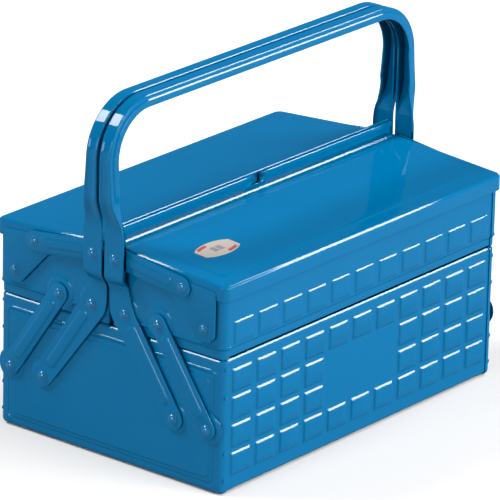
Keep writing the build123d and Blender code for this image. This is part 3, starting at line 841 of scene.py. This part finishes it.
def leg_edges():
    """(inner edge, outer edge) points from the foot of a leg up to the grip's corner."""
    up = unit(TRAY_ON_HANDLE - HANDLE_ON_CASE)
    out = np.array((up[1], -up[0]))
    edges = []
    for angle in np.radians((3, 15, 30, 45, 60, 75)):
        tip = HANDLE_ON_CASE - up * FOOT_R * math.cos(angle)
        edges.append((tip - out * FOOT_R * math.sin(angle), tip + out * FOOT_R * math.sin(angle)))
    way = [(HANDLE_ON_CASE - out * FOOT_R, HANDLE_ON_CASE + out * FOOT_R),
           ((3.3, 117.0), TRAY_ON_HANDLE + out * FOOT_R), ((1.6, 124.0), (22.2, 133.0)),
           ((LEG_IN, 135.0), (19.6, 141.0)), ((LEG_IN, 147.0), (18.6, 147.5)),
           ((LEG_IN, 154.0), (KNEE_OUT, 154.0)), ((LEG_IN, 182.0), (KNEE_OUT, 182.0)),
           ((LEG_IN, 189.0), (18.3, 189.0)), ((LEG_IN, 206.0), (14.8, 206.0)),
           ((LEG_IN, 228.0), (12.8, 228.0)), ((LEG_IN, GRIP_TOP - GRIP_R), (LEG_OUT, GRIP_TOP - GRIP_R))]
    way = [np.array(pair, float) for pair in way]
    spacing = 1.5
    for here, after in zip(way, way[1:]):
        count = max(2, int(np.linalg.norm(after[1] - here[1]) / spacing))
        for share in np.arange(count) / count:
            edges.append(here + (after - here) * share)
    edges.append(way[-1])
    edges = np.array(edges)
    above_foot = 8
    for _ in range(3):
        before, here, after = edges[above_foot - 1:-2], edges[above_foot:-1], edges[above_foot + 1:]
        edges[above_foot:-1] = (before + here * 2 + after) / 4
    return edges


def ring_at(spot, across, outwards, section):
    """A section set in space, with its first corner at the spot."""
    spot, across, outwards = map(np.array, (spot, across, outwards))
    return [spot + across * u + outwards * v for u, v in section]


def bail_rings():
    """Sections from the foot of a leg to the middle of the grip."""
    low_face, flat_face = LINK_X + LINK_T, LEG_X + LEG_T
    rings = []
    for inner, outer in leg_edges():
        height = (inner[1] + outer[1]) / 2
        width = np.linalg.norm(outer - inner)
        spread = eased(height, 187, 27)
        rise = eased(height, 190, 22)
        face = low_face + (flat_face - low_face) * eased(height, 140, 11) + (WEB_X - flat_face) * spread
        groove = CHANNEL_GROOVE * eased(height, 192, 4) if width > 9 else 0
        section = channel(width, LEG_T + (GRIP_DEPTH - LEG_T) * spread, min(0.45 + 0.85 * rise, width / 3),
                          LEG_T + (GRIP_T - LEG_T) * rise, groove, CHANNEL_FLARE * eased(height, 210, 8))
        rings.append(ring_at((face, *inner), (0, *(outer - inner) / width), (1, 0, 0), section))
    corner_x, corner_z = WEB_X - GRIP_R, GRIP_TOP - GRIP_R
    for angle in np.radians(np.arange(2.5, 90.1, 2.5)):
        cos, sin = math.cos(angle), math.sin(angle)
        width = LEG_OUT + (GRIP_OUT - LEG_OUT) * angle / math.radians(90) - LEG_IN
        groove = CHANNEL_GROOVE * float(smooth((0.42 - angle) / 0.07))
        section = channel(width, GRIP_DEPTH, CHANNEL_R, GRIP_T, groove, CHANNEL_FLARE)
        spot = (corner_x + GRIP_R * cos, LEG_IN, corner_z + GRIP_R * sin)
        rings.append(ring_at(spot, (0, 1, 0), (cos, 0, sin), section))
    section = channel(GRIP_OUT - LEG_IN, GRIP_DEPTH, CHANNEL_R, GRIP_T, 0, CHANNEL_FLARE)
    for x in np.linspace(corner_x, 0, 9)[1:]:
        rings.append(ring_at((x, LEG_IN, GRIP_TOP), (0, 1, 0), (0, 0, 1), section))
    return np.array(rings)


def build_handle(side, side_y):
    """A bail: one channel from foot to foot, and a pressed rib on each leg."""
    rings = bail_rings()
    mirrored = rings[::-1][1:] * (-1, 1, 1)
    piece = Piece()
    piece.tube(np.concatenate([rings, mirrored]))
    leg_rib = Piece()
    low, high = HANDLE_ON_CASE, TRAY_ON_HANDLE
    rib(leg_rib, along(low, high, 16.0), along(high, low, 14.0), 4.2, LINK_X + LINK_T, 0.7)
    for side_x in (-1, 1):
        piece.add(leg_rib, side_x, 1)
    place(piece, f"handle_{side}_bail_sheet", f"handle_{side}", f"handle_{side}_bail", "blue_enamel",
          1, side_y, BAIL_SHARP)


def build_rivet_group(name, node, body, rivets, sides):
    """The (centre, inside x, head x, radius) rivets at both ends and the given sides, as one object."""
    piece = Piece()
    for side_x in (-1, 1):
        for side_y in sides:
            for centre, inside_x, head_x, radius in rivets:
                one = Piece()
                rivet(one, centre, inside_x, head_x, radius)
                piece.add(one, side_x, side_y)
    place(piece, name, node, body, "rivet_enamel")


def build_rivets():
    """Every group of pivot rivets: one object for each CAD node."""
    case_in, tray_in = CASE_X - SHEET, TRAY_X - SHEET
    head_x = LINK_X + LINK_T + 0.15
    lid_head_x = EAR_X + EAR_T + 0.15
    build_rivet_group("case_pivot_rivet_heads", "case_pivot_rivets", "case",
                      [(HANDLE_ON_CASE, case_in, head_x, HEAD_R), (LINK_ON_CASE, case_in, head_x, HEAD_R)],
                      (-1, 1))
    for side, side_y in SIDES.items():
        build_rivet_group(f"tray_{side}_rivet_heads", f"tray_{side}_rivets", f"tray_{side}",
                          [(TRAY_ON_HANDLE, tray_in, head_x, HEAD_R),
                           (LINK_ON_TRAY, tray_in, head_x, HEAD_R),
                           (LID_ON_TRAY, tray_in, lid_head_x, SMALL_HEAD_R)], (side_y,))
        build_rivet_group(f"handle_{side}_rivet_heads", f"handle_{side}_rivets", f"handle_{side}_bail",
                          [(ARM_ON_HANDLE, ARM_X - 0.1, LEG_X + LEG_T, HEAD_R)], (side_y,))


build_case_wrap()
for end, side_x in ENDS.items():
    build_case_end(end, side_x)
for side, side_y in SIDES.items():
    build_tray_wrap(side, side_y)
    build_lid(side, side_y)
    build_handle(side, side_y)
    for end, side_x in ENDS.items():
        build_tray_end(side, side_y, end, side_x)
        build_ear(side, side_y, end, side_x)
        build_link(side, side_y, end, side_x)
        build_lid_arm(side, side_y, end, side_x)
build_rivets()
build_label()
for side in SIDES:
    spacers = frame["nodes"][f"tray_{side}_spacers"]
    spacers.data.materials.clear()
    spacers.data.materials.append(materials["zinc_steel"])


# ---------- floor, light and camera, in metres ----------
FLOOR_HALF = 9
BOX_MIDDLE = Vector((0, 0, 0.12))

floor_mesh = bpy.data.meshes.new("studio_floor")
floor_mesh.from_pydata([(-FLOOR_HALF, -FLOOR_HALF, 0), (FLOOR_HALF, -FLOOR_HALF, 0),
                        (FLOOR_HALF, FLOOR_HALF, 0), (-FLOOR_HALF, FLOOR_HALF, 0)], [], [(0, 1, 2, 3)])
floor = bpy.data.objects.new("studio_floor", floor_mesh)
bpy.context.scene.collection.objects.link(floor)
floor_mesh.materials.append(new_material("studio_floor", (0.3, 0.3, 0.3), 0.9))

world = bpy.data.worlds.new("studio")
bpy.context.scene.world = world
world.use_nodes = True
world.node_tree.nodes["Background"].inputs["Color"].default_value = (1, 1, 1, 1)
world.node_tree.nodes["Background"].inputs["Strength"].default_value = 0.3


def stand(item, right, up, back, location):
    """Puts a light or a camera in the scene, turned so that its own axes lie along these three."""
    turn = item.matrix_world.to_3x3()
    for row in range(3):
        turn[row] = (right[row], up[row], back[row])
    item.matrix_world = turn.to_4x4()
    item.location = location
    bpy.context.scene.collection.objects.link(item)


def softbox(name, direction, distance, size, power, long_way):
    """A studio light in that direction from the box, its first side along long_way."""
    data = bpy.data.lights.new(name, "AREA")
    data.shape = "RECTANGLE"
    data.size, data.size_y = size
    data.energy = power
    outward = Vector(direction).normalized()
    side = (Vector(long_way) - outward * outward.dot(Vector(long_way))).normalized()
    lamp = bpy.data.objects.new(name, data)
    stand(lamp, side, outward.cross(side), outward, BOX_MIDDLE + outward * distance)


softbox("right_strip", (0.743, -0.34, 0.592), 12.0, (11.5, 1.2), 3650, (0, 1, 0.6))
softbox("rear_panel", (-0.33, 0.60, 0.74), 12.0, (4.2, 3.2), 3250, (1, 0, 0.48))
softbox("front", (0.12, -1.0, 0.35), 5.0, (3.4, 2.4), 790, (1, 0, 0))
softbox("left", (-1.0, -0.05, 0.25), 5.0, (2.2, 1.8), 330, (0, 1, 0))

azimuth, elevation, roll = (math.radians(a) for a in (-51.283, 20.470, 1.303))
distance = 4.0863
target = Vector((0.0, 0.00186, 0.12138))
back = Vector((math.sin(azimuth) * math.cos(elevation), -math.cos(azimuth) * math.cos(elevation),
               math.sin(elevation)))
level = Vector((math.cos(azimuth), math.sin(azimuth), 0))
upright = back.cross(level)
right = level * math.cos(roll) + upright * math.sin(roll)
up = upright * math.cos(roll) - level * math.sin(roll)
camera_data = bpy.data.cameras.new("camera")
camera_data.sensor_width = 36
camera_data.lens = 384.1
camera = bpy.data.objects.new("camera", camera_data)
stand(camera, right, up, back, target + back * distance)
bpy.context.scene.camera = camera
bpy.context.scene.view_settings.view_transform = "Standard"
